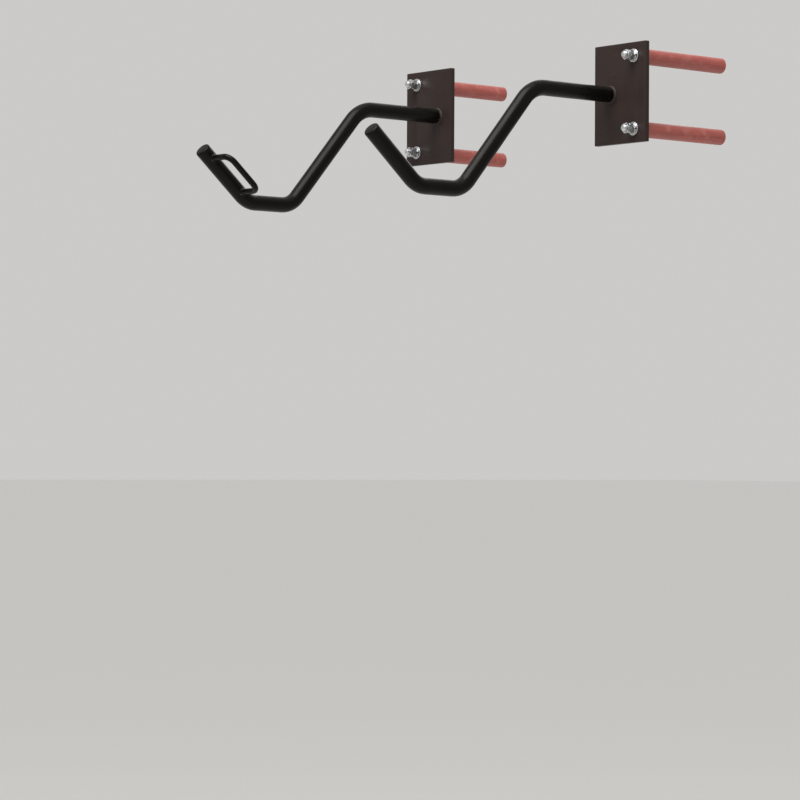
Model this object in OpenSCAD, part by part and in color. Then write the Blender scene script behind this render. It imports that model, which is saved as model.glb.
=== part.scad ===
// Bicycle wall rack: two bent, vinyl-dipped steel arms that carry a bicycle by its top tube.
// Each arm is welded to a wall plate, and each plate hangs on two sleeve anchors in the wall.
// The left arm carries a welded eye for a lock.
// Origin: on the wall's face, midway between the four anchors.
// +X runs right along the wall, +Y into the wall, +Z up. Millimetres.

/* [Rack] */
// Distance between the two arms, centre to centre
arm_spacing = 406.4; // [300:0.1:800]
// How far a plate's centre lies outboard of its arm
plate_offset = 21; // [15:0.5:30]
// How far a plate's anchors lie outboard of the plate's centre
anchor_offset = 29.8; // [20:0.1:38]
// Vertical distance between a plate's two anchors
anchor_rows = 111; // [80:1:126]

/* [Wall plate] */
// Width of a wall plate
plate_w = 111; // [104:1:160]
// Height of a wall plate
plate_h = 152.4; // [140:0.1:240]
// Thickness of a wall plate
plate_t = 7.9; // [5:0.1:12]
// Radius of a wall plate's corners
plate_corner_r = 1.2; // [0.5:0.1:10]
// Clearance of a stud in its plate hole, on the diameter
plate_hole_play = 1.6; // [0.5:0.1:3]

/* [Arm tube] */
// Outer diameter of the steel tube
tube_d = 22.2; // [16:0.1:30]
// Wall thickness of the steel tube
tube_wall = 2.1; // [1.2:0.1:4]
// Centreline radius of the upper bend
upper_bend_r = 55; // [36:0.5:70]
// Centreline radius of the cradle's two bends
cradle_bend_r = 40; // [30:0.5:50]
// Plate face to the corner where the arm turns down
reach_out = 161; // [100:1:300]
// Height from the upper run down to the cradle
drop = 162; // [110:1:260]
// Steepness of the dropping run
drop_angle = 49.4; // [35:0.1:70]
// Corner-to-corner length of the level cradle
cradle_len = 85; // [80:1:140]
// Steepness of the upturned tip
tip_angle = 41.2; // [30:0.1:60]
// Corner to the steel end of the tip
tip_len = 115.5; // [114:0.5:200]
// Depth of the steel plug that closes the tip
plug_depth = 8; // [3:0.5:20]
// Leg of the fillet weld between the tube and its plate
plate_weld_leg = 3; // [2:0.1:5]

/* [Vinyl coat] */
// Thickness of the dipped coat
coat_t = 1; // [0.8:0.1:3]
// Bare length left between the coat and the plate
coat_gap = 3.5; // [3:0.1:10]
// Rounding of the coat's closed end
coat_end_r = 3; // [1:0.1:6]

/* [Lock eye] */
// Diameter of the eye's steel bar
eye_bar_d = 7.5; // [5:0.1:10]
// Arm centreline to the middle of the eye's outer bar
eye_reach = 50; // [36:0.5:80]
// Distance between the middles of the eye's two legs
eye_span = 74; // [50:0.5:80]
// From the end of the tip's bend to the edge of the eye's lower foot
eye_gap = 0.2; // [0.1:0.1:12]
// Centreline radius of the eye's two bends
eye_bend_r = 14; // [9:0.5:20]
// Leg of the fillet welds at the eye's feet
eye_weld_leg = 2; // [1:0.1:4]

/* [Anchors] */
// Diameter of the threaded stud
stud_d = 9.5; // [8:0.1:12]
// Bare stud that stands out past the jam nut
stud_end = 5; // [3:0.5:20]
// Outer diameter of the flat washer
washer_d = 20.6; // [19:0.1:30]
// Thickness of the flat washer
washer_t = 1.7; // [1:0.1:3]
// Outer diameter of the spring washer
spring_washer_d = 17.2; // [16:0.1:22]
// Thickness of the spring washer
spring_washer_t = 2.4; // [1.5:0.1:4]
// Gap where the spring washer is split
spring_washer_gap = 1.8; // [0.5:0.1:3]
// Clearance of both washers on the stud, on the diameter
washer_play = 0.8; // [0.2:0.1:2]
// Width across the flats of both nuts
nut_af = 14.3; // [13.5:0.1:19]
// Height of the main nut
nut_h = 8.3; // [5:0.1:12]
// Height of the jam nut
jam_nut_h = 5.6; // [4:0.1:8]
// Radial clearance of every thread
thread_fit = 0.05; // [0.02:0.01:0.1]
// Outer diameter of the nylon sleeve in the wall
sleeve_d = 24; // [22:0.1:30]
// Depth of the nylon sleeve's inner end in the wall
sleeve_len = 180; // [100:1:220]
// How far the sleeve's outer end sits below the wall's face
sleeve_recess = 2.5; // [0:0.1:10]
// Clearance of the stud in the sleeve, on the diameter
sleeve_play = 1; // [0.4:0.1:3]
// Length of the sleeve's split, spreading end
split_len = 70; // [40:1:90]
// Width of the upright cut that splits the sleeve
split_w = 2; // [1:0.1:4]
// Length of the cone nut that spreads the sleeve
cone_len = 24; // [12:1:36]
// Diameter of the cone nut's wide end
cone_d = 18; // [15:0.1:19]
// Diameter of the cone nut's narrow end
cone_tip_d = 12.6; // [12.5:0.1:14.5]
// Gap between the cone nut and the sleeve's flared mouth
cone_fit = 0.1; // [0.05:0.01:0.3]

/* [Hidden] */
LEFT = -1;
RIGHT = 1;
SIDES = [["left", LEFT], ["right", RIGHT]];
ANCHORS = [for (s = SIDES, row = [["upper", 1], ["lower", -1]]) [str(row[0], "_", s[0]), s[1], row[1]]];
ARM_PARTS = ["wall_plate", "plate_weld", "arm_tube", "tip_plug", "vinyl_coat"];
ANCHOR_PARTS = [
    "wall_sleeve", "cone_nut", "anchor_stud", "flat_washer", "spring_washer", "hex_nut", "jam_nut"
];

plate_x = arm_spacing / 2 + plate_offset;
anchor_x = plate_x + anchor_offset;
tube_r = tube_d / 2;
coat_r = tube_r + coat_t;
eye_bar_r = eye_bar_d / 2;
eye_coat_r = eye_bar_r + coat_t;
// The eye's lower leg, from the start of the straight tip
eye_x = eye_gap + eye_coat_r + eye_weld_leg;
stud_r = stud_d / 2;
nut_bore_r = stud_r + thread_fit;

// Length that each bend takes up on both sides of its corner
upper_tangent = upper_bend_r * tan(drop_angle / 2);
cradle_tangent = cradle_bend_r * tan(drop_angle / 2);
tip_tangent = cradle_bend_r * tan(tip_angle / 2);
upper_run = reach_out - upper_tangent;
drop_run = drop / sin(drop_angle) - upper_tangent - cradle_tangent;
cradle_run = cradle_len - cradle_tangent - tip_tangent;
tip_run = tip_len - tip_tangent;

// Heights of the fastener stack above the wall's face
washer_z = plate_t;
spring_washer_z = washer_z + washer_t;
nut_z = spring_washer_z + spring_washer_t;
jam_nut_z = nut_z + nut_h;
stud_top_z = jam_nut_z + jam_nut_h + stud_end;
// The stud runs through the cone nut and a little past it
stud_tail = 2;
stud_bottom_z = -sleeve_len - stud_tail;
stud_chamfer = 1.2;
nut_chamfer = 0.16 * nut_af / 2;
// Extra length on cuts, so that they pass right through
over = 1;
// How much a bend draws the wall in, and how far a straight length laps into a bend
bend_thin = 0.03;
lap = 0.3;

$fn = 64;

// ---- Places -------------------------------------------------------------

// An arm's own frame: +X along the tube, +Y up, starting at the plate's face
module at_arm(side) {
    translate([side * arm_spacing / 2, -plate_t, 0]) rotate([90, 0, -90]) children();
}

// A plate's own frame: +Z out of the wall, origin on the wall at the plate's centre
module at_plate(side) {
    translate([side * plate_x, 0, 0]) rotate([90, 0, 0]) children();
}

// An anchor's own frame: +Z out of the wall, origin on the wall
module at_anchor(a) {
    translate([a[1] * anchor_x, 0, a[2] * anchor_rows / 2]) rotate([90, 0, 0]) children();
}

// Moves on past a bend; a positive angle turns towards +Y
module past_bend(angle, centre_r) {
    centre = sign(angle) * centre_r;
    translate([0, centre, 0]) rotate([0, 0, angle]) translate([0, -centre, 0]) children();
}

module at_first_bend() { translate([upper_run, 0, 0]) children(); }
module at_drop() { at_first_bend() past_bend(-drop_angle, upper_bend_r) children(); }
module at_second_bend() { at_drop() translate([drop_run, 0, 0]) children(); }
module at_cradle() { at_second_bend() past_bend(drop_angle, cradle_bend_r) children(); }
module at_third_bend() { at_cradle() translate([cradle_run, 0, 0]) children(); }
module at_tip() { at_third_bend() past_bend(tip_angle, cradle_bend_r) children(); }

// ---- Bars and tubes -------------------------------------------------------

// Section of a tube, or of a solid bar when it has no bore
module section(r, bore_r) {
    difference() {
        circle(r);
        if (bore_r > 0) circle(bore_r);
    }
}

// A round bar or tube along +X
module straight(length, r, bore_r = 0) {
    rotate([0, 90, 0]) linear_extrude(length) section(r, bore_r);
}

// A round bar or tube bent in the XY plane, starting along +X; bending draws its wall a hair thin
module bend(angle, centre_r, r, bore_r = 0) {
    rotate([angle < 0 ? 180 : 0, 0, 0])
        translate([0, centre_r, 0])
            rotate([0, 0, -90])
                rotate_extrude(angle = abs(angle))
                    translate([centre_r, 0])
                        section(r - bend_thin, bore_r > 0 ? bore_r + bend_thin : 0);
}

// A straight length between two bends, which laps a little way into both
module between_bends(length, r, bore_r = 0) {
    translate([-lap, 0, 0]) straight(length + 2 * lap, r, bore_r);
}

// The arm's bent shape, from a start along the upper run to an end along the tip;
// a bore of 0 makes it solid
module arm_pipe(r, bore_r, start, tip_end) {
    translate([start, 0, 0]) straight(upper_run + lap - start, r, bore_r);
    at_first_bend() bend(-drop_angle, upper_bend_r, r, bore_r);
    at_drop() between_bends(drop_run, r, bore_r);
    at_second_bend() bend(drop_angle, cradle_bend_r, r, bore_r);
    at_cradle() between_bends(cradle_run, r, bore_r);
    at_third_bend() bend(tip_angle, cradle_bend_r, r, bore_r);
    at_tip() translate([-lap, 0, 0]) straight(tip_end + lap, r, bore_r);
}

// A short bar on the XY plane whose far edge is rounded over, past a straight skirt
module rounded_end(r, round_r, skirt) {
    rotate_extrude() {
        square([r, skirt]);
        translate([0, skirt]) {
            square([r - round_r, round_r]);
            intersection() {
                translate([r - round_r, 0]) circle(round_r);
                square([r, round_r]);
            }
        }
    }
}

// The eye's bar, in the tip's frame: out towards the rack's middle, along the tip and back
module eye_bar(r) {
    leg = eye_reach - eye_bend_r;
    translate([eye_x, 0, 0]) rotate([0, 90, 0]) rotate([90, 0, 0]) {
        straight(leg + lap, r);
        translate([leg, 0, 0]) bend(90, eye_bend_r, r);
        translate([eye_reach, eye_bend_r, 0])
            rotate([0, 0, 90]) between_bends(eye_span - 2 * eye_bend_r, r);
        translate([eye_reach, eye_span - eye_bend_r, 0]) rotate([0, 0, 90]) bend(90, eye_bend_r, r);
        translate([0, eye_span, 0]) straight(leg + lap, r);
    }
}

// The cones of weld metal round the eye's two feet
module eye_feet(r) {
    foot_base = tube_r / 2;
    for (along = [0, eye_span])
        translate([eye_x + along, 0, 0]) rotate([180, 0, 0]) {
            translate([0, 0, foot_base]) cylinder(h = tube_r - foot_base, r = r + eye_weld_leg);
            translate([0, 0, tube_r]) cylinder(h = eye_weld_leg, r1 = r + eye_weld_leg, r2 = r);
        }
}

// ---- Arms -----------------------------------------------------------------

// Flat steel plate with two anchor holes on its outboard side
module wall_plate(side) {
    inset_w = plate_w - 2 * plate_corner_r;
    inset_h = plate_h - 2 * plate_corner_r;
    color([0.17, 0.14, 0.13])
        at_plate(side)
            linear_extrude(plate_t)
                difference() {
                    union() {
                        square([plate_w, inset_h], center = true);
                        square([inset_w, plate_h], center = true);
                        for (x = [-1, 1], y = [-1, 1])
                            translate([x * inset_w / 2, y * inset_h / 2]) circle(plate_corner_r);
                    }
                    for (y = [-1, 1])
                        translate([side * anchor_offset, y * anchor_rows / 2])
                            circle(d = stud_d + plate_hole_play);
                }
}

// Fillet weld round the tube's foot
module plate_weld(side) {
    color([0.2, 0.17, 0.15])
        at_arm(side)
            rotate([0, 90, 0])
                rotate_extrude()
                    polygon([
                        [tube_r, 0],
                        [tube_r + plate_weld_leg, 0],
                        [tube_r, plate_weld_leg]
                    ]);
}

// Bent steel tube, open from end to end
module arm_tube(side) {
    color([0.35, 0.35, 0.36]) at_arm(side) arm_pipe(tube_r, tube_r - tube_wall, 0, tip_run);
}

// Round plug that closes the tube's upper end
module tip_plug(side) {
    color([0.55, 0.55, 0.56])
        at_arm(side)
            at_tip()
                translate([tip_run - plug_depth, 0, 0]) straight(plug_depth, tube_r - tube_wall);
}

// The coat's closed end, with its edge rounded over
module coat_end() {
    skirt_x = tip_run + coat_t - coat_end_r - lap;
    at_tip()
        difference() {
            translate([skirt_x, 0, 0])
                rotate([0, 90, 0]) rounded_end(coat_r - bend_thin, coat_end_r, lap);
            translate([skirt_x - over, 0, 0])
                straight(tip_run - skirt_x + over, tube_r + bend_thin);
        }
}

// Coat over the eye and its welds, in the tip's frame
module eye_coat() {
    difference() {
        union() {
            eye_bar(eye_coat_r);
            eye_feet(eye_coat_r);
        }
        straight(tip_run, tube_r);
    }
}

// Soft vinyl dipped over the tube, and over the eye where the arm has one
module vinyl_coat(side) {
    color([0.06, 0.06, 0.06])
        at_arm(side)
            difference() {
                union() {
                    arm_pipe(coat_r, tube_r, coat_gap, tip_run + coat_t - coat_end_r);
                    coat_end();
                    if (side == LEFT) at_tip() eye_coat();
                }
                if (side == LEFT) at_tip() {
                    eye_bar(eye_bar_r);
                    eye_feet(eye_bar_r);
                }
            }
}

// Bent bar that a lock passes through
module lock_eye() {
    color([0.4, 0.4, 0.41])
        at_arm(LEFT)
            at_tip()
                difference() {
                    eye_bar(eye_bar_r);
                    straight(tip_run, tube_r);
                }
}

// Weld metal at the eye's two feet
module lock_eye_welds() {
    color([0.45, 0.43, 0.4])
        at_arm(LEFT)
            at_tip()
                difference() {
                    eye_feet(eye_bar_r);
                    eye_bar(eye_bar_r);
                    straight(tip_run, tube_r);
                }
}

// ---- Anchors --------------------------------------------------------------

// Red nylon sleeve, set a little below the wall's face, split at its inner end and
// with a flared mouth there for the cone nut
module wall_sleeve() {
    bore_r = stud_r + sleeve_play / 2;
    color([0.62, 0.2, 0.17])
        difference() {
            translate([0, 0, -sleeve_len])
                cylinder(h = sleeve_len - sleeve_recess, d = sleeve_d);
            translate([0, 0, -sleeve_len - over]) cylinder(h = sleeve_len + 2 * over, r = bore_r);
            translate([0, 0, -sleeve_len])
                cylinder(h = cone_len, r1 = cone_d / 2 + cone_fit, r2 = cone_tip_d / 2 + cone_fit);
            translate([-split_w / 2, -sleeve_d / 2 - over, -sleeve_len - over])
                cube([split_w, sleeve_d + 2 * over, split_len + over]);
        }
}

// Steel cone on the stud's inner end, which spreads the sleeve
module cone_nut() {
    color([0.72, 0.73, 0.74])
        difference() {
            translate([0, 0, -sleeve_len]) cylinder(h = cone_len, d1 = cone_d, d2 = cone_tip_d);
            translate([0, 0, -sleeve_len - over])
                cylinder(h = cone_len + 2 * over, r = nut_bore_r);
        }
}

// Threaded stud with chamfered ends
module anchor_stud() {
    inner_r = stud_r - stud_chamfer;
    color([0.78, 0.79, 0.8])
        rotate_extrude()
            polygon([
                [0, stud_bottom_z],
                [inner_r, stud_bottom_z],
                [stud_r, stud_bottom_z + stud_chamfer],
                [stud_r, stud_top_z - stud_chamfer],
                [inner_r, stud_top_z],
                [0, stud_top_z]
            ]);
}

module flat_washer() {
    color([0.8, 0.81, 0.82])
        translate([0, 0, washer_z])
            linear_extrude(washer_t)
                difference() {
                    circle(d = washer_d);
                    circle(d = stud_d + washer_play);
                }
}

// Spring washer, pressed flat and split at one side
module spring_washer() {
    color([0.7, 0.71, 0.72])
        translate([0, 0, spring_washer_z])
            linear_extrude(spring_washer_t)
                difference() {
                    circle(d = spring_washer_d);
                    circle(d = stud_d + washer_play);
                    translate([0, -spring_washer_gap / 2])
                        square([spring_washer_d, spring_washer_gap]);
                }
}

// Hexagon nut with both faces chamfered
module hexagon_nut(height) {
    corner_r = nut_af / 2 / cos(30);
    face_r = nut_af / 2;
    difference() {
        intersection() {
            linear_extrude(height) circle(r = corner_r, $fn = 6);
            rotate_extrude()
                polygon([
                    [0, 0],
                    [face_r, 0],
                    [face_r + nut_chamfer, nut_chamfer / 2],
                    [face_r + nut_chamfer, height - nut_chamfer / 2],
                    [face_r, height],
                    [0, height]
                ]);
        }
        translate([0, 0, -over]) cylinder(h = height + 2 * over, r = nut_bore_r);
    }
}

module hex_nut() {
    color([0.78, 0.79, 0.8]) translate([0, 0, nut_z]) hexagon_nut(nut_h);
}

module jam_nut() {
    // A quarter of a flat's turn, because two tightened nuts seldom line up
    color([0.76, 0.77, 0.78]) translate([0, 0, jam_nut_z]) rotate(15) hexagon_nut(jam_nut_h);
}

// ---- The rack ---------------------------------------------------------------

for (s = SIDES) {
    wall_plate(s[1]);
    plate_weld(s[1]);
    arm_tube(s[1]);
    tip_plug(s[1]);
    vinyl_coat(s[1]);
}
lock_eye();
lock_eye_welds();
for (a = ANCHORS) {
    at_anchor(a) wall_sleeve();
    at_anchor(a) cone_nut();
    at_anchor(a) anchor_stud();
    at_anchor(a) flat_washer();
    at_anchor(a) spring_washer();
    at_anchor(a) hex_nut();
    at_anchor(a) jam_nut();
}
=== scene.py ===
"""Bicycle wall rack: two vinyl-dipped steel arms on painted wall plates, hung on sleeve anchors.

The CAD frame gives the places and outer sizes. This file makes the visible pieces round it, each
with its own procedural finish, as an add-on whose panel has a button for each group of pieces.
Lengths are in metres. X runs right along the wall, Y into the wall and Z up.
"""

import math

import bmesh
import bpy
from bpy.props import FloatProperty, FloatVectorProperty, IntProperty, PointerProperty
from mathutils import Matrix, Vector, noise


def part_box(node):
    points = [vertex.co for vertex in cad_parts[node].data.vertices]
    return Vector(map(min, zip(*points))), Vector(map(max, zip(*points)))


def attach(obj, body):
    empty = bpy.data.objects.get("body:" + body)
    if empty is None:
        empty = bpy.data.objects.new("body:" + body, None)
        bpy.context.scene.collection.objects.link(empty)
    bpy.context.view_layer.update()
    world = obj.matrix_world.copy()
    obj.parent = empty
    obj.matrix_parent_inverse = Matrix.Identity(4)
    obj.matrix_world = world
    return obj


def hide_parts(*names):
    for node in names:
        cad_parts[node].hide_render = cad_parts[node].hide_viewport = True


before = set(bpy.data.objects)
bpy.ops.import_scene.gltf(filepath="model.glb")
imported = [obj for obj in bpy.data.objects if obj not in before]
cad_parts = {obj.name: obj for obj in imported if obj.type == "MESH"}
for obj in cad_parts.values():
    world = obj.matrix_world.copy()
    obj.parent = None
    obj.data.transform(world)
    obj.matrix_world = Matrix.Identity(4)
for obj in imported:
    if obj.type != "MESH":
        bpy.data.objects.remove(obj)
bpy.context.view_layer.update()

bl_info = {
    "name": "Bicycle Wall Rack",
    "version": (1, 0, 0),
    "blender": (4, 5, 0),
    "location": "3D View > Sidebar > Wall Rack",
    "description": "Builds a bicycle wall rack with dipped arms, a lock eye and sleeve anchors",
    "category": "Add Mesh",
}

SIDES = {"left": -1, "right": 1}
ANCHORS = [f"{row}_{side}" for side in SIDES for row in ("upper", "lower")]
MM = 0.001
CONE_TIP_R = 6.3 * MM
SKIN_STEP, BORE_STEP, WANDER = 5 * MM, 12 * MM, 24 * MM

# How finely rings and turns are cut.
BAR_POINTS, BORE_POINTS, SLEEVE_STEPS, WASHER_STEPS = 40, 48, 64, 72
BEND_STEPS, RIPPLE_STEPS, THREAD_STEPS, SPRING_STEPS = 14, 8, 24, 60


# ---- Places and sizes read from the frame ----


def size_of(node):
    """A node's extent along X, Y and Z."""
    low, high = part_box(node)
    return high - low


def middle_of(node):
    low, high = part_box(node)
    return (low + high) / 2


def heights_of(node):
    """How far a node's back and front stand out of the wall."""
    low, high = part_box(node)
    return -high.y, -low.y


def out_of_wall(node):
    """A frame on the wall behind a node's middle, whose Z axis points out of the wall."""
    middle = middle_of(node)
    return Matrix.Translation((middle.x, 0, middle.z)) @ Matrix.Rotation(math.radians(90), 4, "X")


PLATE_FACE = heights_of("wall_plate_left")[1]
COAT_R = size_of("vinyl_coat_right").x / 2
ARM_X = middle_of("plate_weld_right").x
COAT_START = heights_of("vinyl_coat_right")[0]


# ---- Sizes and colours that a user may change ----


def setting(kind, name, description, default, **limits):
    return kind(name=name, description=description, default=default, **limits)


def length(*rest):
    return setting(FloatProperty, *rest, min=0, unit="LENGTH", precision=5)


def angle(name, description, degrees):
    turn = math.radians(degrees)
    return setting(FloatProperty, name, description, turn, subtype="ANGLE", unit="ROTATION")


def number(*rest):
    return setting(FloatProperty, *rest, min=0)


def count(*rest):
    return setting(IntProperty, *rest, min=8)


def colour(*rest):
    return setting(FloatVectorProperty, *rest, size=3, min=0, max=1, subtype="COLOR")


class RackArmSizes(bpy.types.PropertyGroup):
    """The arms' bends, and the coat dipped over them"""

    upper_reach: length("Upper Reach", "Plate's face to where the arm turns down", 161 * MM)
    upper_bend_r: length("Upper Bend", "Centreline radius of the upper bend", 55 * MM)
    drop_angle: angle("Drop Angle", "Steepness of the dropping run", 49.4)
    cradle_run: length("Cradle", "Corner-to-corner length of the level cradle", 85 * MM)
    cradle_bend_r: length("Cradle Bends", "Centreline radius of the cradle's two bends", 40 * MM)
    tip_angle: angle("Tip Angle", "Steepness of the upturned tip", 41.2)
    coat_t: length("Coat", "Thickness of the dipped coat", 1 * MM)
    end_round: length("End Rounding", "Rounding of the coat's closed end", 3 * MM)
    unevenness: length("Unevenness", "How far the dipped skin wanders from a true tube", 0.16 * MM)
    ring_points: count("Ring Points", "Points round a tube", 64)


class RackEyeSizes(bpy.types.PropertyGroup):
    """The lock eye on the left arm"""

    start: length("Start", "Tip's straight start to the eye's lower leg", 6.95 * MM)
    reach: length("Reach", "Arm's centreline to the middle of the outer bar", 50 * MM)
    span: length("Span", "Distance between the middles of the two legs", 74 * MM)
    bend_r: length("Bends", "Centreline radius of the eye's bends", 14 * MM)
    bar_r: length("Coated Bar", "Radius of the bar with its coat", 4.75 * MM)
    foot_fillet: length("Foot Fillet", "Vinyl drawn into the corner at each foot", 2.6 * MM)


class RackPlateSizes(bpy.types.PropertyGroup):
    """The wall plates and the welds on them"""

    corner_r: length("Corners", "Radius of a plate's corners", 1.2 * MM)
    edge_round: length("Edges", "Rounding of a plate's edges under the paint", 0.7 * MM)
    hole_r: length("Holes", "Radius of the anchor holes", 5.55 * MM)
    bead_ripples: count("Ripples", "Ripples round a weld bead", 44)
    bead_ripple_h: length("Ripple Height", "Height of a weld ripple", 0.28 * MM)


class RackAnchorSizes(bpy.types.PropertyGroup):
    """Studs, washers, nuts and sleeves"""

    thread_pitch: length("Pitch", "Advance of one turn of thread", 1.5875 * MM)
    thread_depth: length("Thread Depth", "Crest to root of the thread", 0.93 * MM)
    stud_chamfer: length("Stud Chamfer", "Chamfer on the stud's ends", 1.2 * MM)
    washer_bore_r: length("Washer Bore", "Radius of the bore of both washers", 5.15 * MM)
    spring_gap: length("Spring Gap", "Gap where the spring washer is split", 1.8 * MM)
    spring_rise: length("Spring Rise", "Step left between the spring washer's ends", 0.3 * MM)
    nut_bore_r: length("Nut Bore", "Radius of the nuts' bore", 4.8 * MM)
    jam_turn: angle("Jam Nut Turn", "How far the jam nut stands round from the main nut", 15)
    sleeve_bore_r: length("Sleeve Bore", "Radius of the sleeve's bore", 5.25 * MM)
    split_len: length("Split", "Length of the sleeve's split end", 70 * MM)
    split_w: length("Split Width", "Width of the upright cut that splits the sleeve", 2 * MM)


class RackColours(bpy.types.PropertyGroup):
    """The rack's colours"""

    paint: colour("Plate Paint", "Brown-black paint of the wall plates", (0.0215, 0.0135, 0.0115))
    # This colour is also the painted shade that darkens the zinc fasteners' corners and crevices.
    worn_paint_and_zinc_shade: colour("Worn Paint", "Paint rubbed thin at the edges", (0.060, 0.049, 0.044))
    vinyl: colour("Vinyl", "Black dipped vinyl of the arms", (0.0032, 0.0027, 0.0021))
    scuffed_vinyl: colour("Scuffed Vinyl", "Vinyl rubbed by bicycle frames", (0.016, 0.015, 0.014))
    zinc: colour("Zinc", "Bright zinc of the fasteners", (0.74, 0.745, 0.75))
    dull_zinc: colour("Dull Zinc", "Zinc that has gone cloudy", (0.44, 0.45, 0.46))
    nylon: colour("Nylon", "Red nylon of the wall sleeves", (0.275, 0.062, 0.050))
    pale_nylon: colour("Pale Nylon", "Nylon chalky with wall dust", (0.36, 0.135, 0.110))
    steel: colour("Steel", "Bare drawn steel under the coat", (0.36, 0.355, 0.35))
    rust: colour("Rust", "First rust on the bare steel", (0.09, 0.045, 0.022))
    dust: colour("Dust", "Dust that lies on upper faces", (0.22, 0.205, 0.18))
    floor: colour("Floor", "Pale studio floor", (0.93, 0.925, 0.91))


class RackStageSettings(bpy.types.PropertyGroup):
    """Camera, lights and floor"""

    azimuth: angle("Azimuth", "How far the camera stands round to the rack's right", 50.11)
    elevation: angle("Elevation", "How far the camera stands above the rack's level", -1.09)
    roll: angle("Roll", "Turn of the camera about its line of sight", 0.34)
    target: setting(
        FloatVectorProperty, "Target", "Point that the camera looks at", (-0.136, -0.139, -0.464),
        subtype="XYZ", unit="LENGTH",
    )
    distance: length("Distance", "Camera to target", 4.9)
    lens: number("Lens", "Focal length in millimetres", 139.6)
    sensor: number("Sensor", "Sensor width in millimetres", 36)
    floor_drop: length("Floor Drop", "How far the floor lies under the rack's origin", 1.9)
    key_power: number("Key", "Power of the overhead soft light", 120)
    fill_power: number("Fill", "Power of the front fill light", 14)
    back_power: number("Back", "Power of the light behind the rack", 16)
    sky: number("Sky", "Strength of the even light all round", 0.6)


# ---- Mesh helpers ----


def verts_in(geometry):
    return [g for g in geometry if isinstance(g, bmesh.types.BMVert)]


def edges_in(geometry):
    return [g for g in geometry if isinstance(g, bmesh.types.BMEdge)]


def corners_of(edges):
    return {v for e in edges for v in e.verts}


def move(bm, matrix):
    bmesh.ops.transform(bm, matrix=matrix, verts=bm.verts)


class Sweep:
    """A ring of edges carried along straight runs and bends; it leaves a skin behind it."""

    def __init__(self, bm, ring, centre, heading, turn_axis, radius):
        self.bm, self.ring, self.radius = bm, ring, radius
        self.centre, self.heading = Vector(centre), Vector(heading)
        self.turn_axis = Vector(turn_axis)

    def straight(self, run, steps=1, radius=None):
        """Carries the ring straight on, and ends at a new radius if one is given."""
        for _ in range(steps):
            made = bmesh.ops.extrude_edge_only(self.bm, edges=self.ring)["geom"]
            verts = verts_in(made)
            step = self.heading * (run / steps)
            bmesh.ops.translate(self.bm, verts=verts, vec=step)
            self.centre += step
            new = set(verts)
            self.ring = [e for e in edges_in(made) if new.issuperset(e.verts)]
        if radius is not None:
            share = radius / self.radius
            bmesh.ops.scale(
                self.bm, verts=verts, vec=(share,) * 3, space=Matrix.Translation(-self.centre)
            )
            self.radius = radius

    def bend(self, turn, bend_r, steps):
        """Carries the ring round a bend about the turn axis."""
        pivot = self.centre - math.copysign(bend_r, turn) * self.heading.cross(self.turn_axis)
        made = bmesh.ops.spin(
            self.bm, geom=[*corners_of(self.ring), *self.ring], cent=pivot, axis=self.turn_axis,
            angle=turn, steps=steps,
        )
        self.ring = edges_in(made["geom_last"])
        turned = Matrix.Rotation(turn, 3, self.turn_axis)
        self.centre = pivot + turned @ (self.centre - pivot)
        self.heading = turned @ self.heading

    def round_over(self, round_r, steps, inward=True):
        """Closes in, or opens out, by a quarter round of radius round_r."""
        start_r = self.radius
        last = 0.0
        for i in range(1, steps + 1):
            a = math.pi / 2 * i / steps
            if inward:
                along, across = math.sin(a), math.cos(a) - 1
            else:
                along, across = 1 - math.cos(a), math.sin(a)
            radius = start_r + round_r * across
            self.straight((along - last) * round_r, radius=radius)
            last = along

    def cap(self):
        bmesh.ops.contextual_create(self.bm, geom=self.ring)


def ring(bm, points, radius, place):
    """Edges of a new open circle, with its axis along the local Z of place."""
    made = bmesh.ops.create_circle(bm, segments=points, radius=radius, matrix=place)
    return list({e for v in made["verts"] for e in v.link_edges})


def facing(place, heading):
    """A matrix at place whose Z axis points along heading."""
    return Matrix.Translation(place) @ Vector(heading).to_track_quat("Z", "Y").to_matrix().to_4x4()


def arc(centre_r, centre_z, radius, start, end, steps):
    """Points of an arc, as (radius, height) pairs; angles are in degrees."""
    turns = [math.radians(start + (end - start) * i / steps) for i in range(steps + 1)]
    return [(centre_r + radius * math.cos(a), centre_z + radius * math.sin(a)) for a in turns]


def outline_in(bm, points, closed=True):
    """New vertices at (radius, height) points, and the edges between them."""
    verts = [bm.verts.new((r, 0, z)) for r, z in points]
    after = verts[1:] + verts[:1] if closed else verts[1:]
    return verts, [bm.edges.new(pair) for pair in zip(verts, after)]


def spin_up(bm, geometry, turn, steps, rise=0.0, merge=False):
    """Spins geometry round the local Z axis, with a rise at each step."""
    return bmesh.ops.spin(
        bm, geom=geometry, cent=(0, 0, 0), axis=(0, 0, 1), dvec=(0, 0, rise), angle=turn,
        steps=steps, use_merge=merge,
    )


def lathe(bm, outline, steps):
    """Spins a closed outline of (radius, height) points once round the local Z axis."""
    verts, edges = outline_in(bm, outline)
    spin_up(bm, verts + edges, math.tau, steps, merge=True)


def tidy(bm):
    """Merges doubled points, turns every face outwards, and gives the bmesh back."""
    bmesh.ops.remove_doubles(bm, verts=bm.verts, dist=1e-6)
    bmesh.ops.recalc_face_normals(bm, faces=bm.faces)
    return bm


def object_from(name, bm, crease=35.0):
    """A linked object made from a bmesh, smooth except over creases sharper than crease degrees."""
    bm.normal_update()
    for face in bm.faces:
        face.smooth = True
    for edge in bm.edges:
        soft = len(edge.link_faces) == 2 and edge.calc_face_angle() < math.radians(crease)
        edge.smooth = soft
    mesh = bpy.data.meshes.new(name)
    bm.to_mesh(mesh)
    bm.free()
    made = bpy.data.objects.new(name, mesh)
    bpy.context.scene.collection.objects.link(made)
    return made


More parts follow.
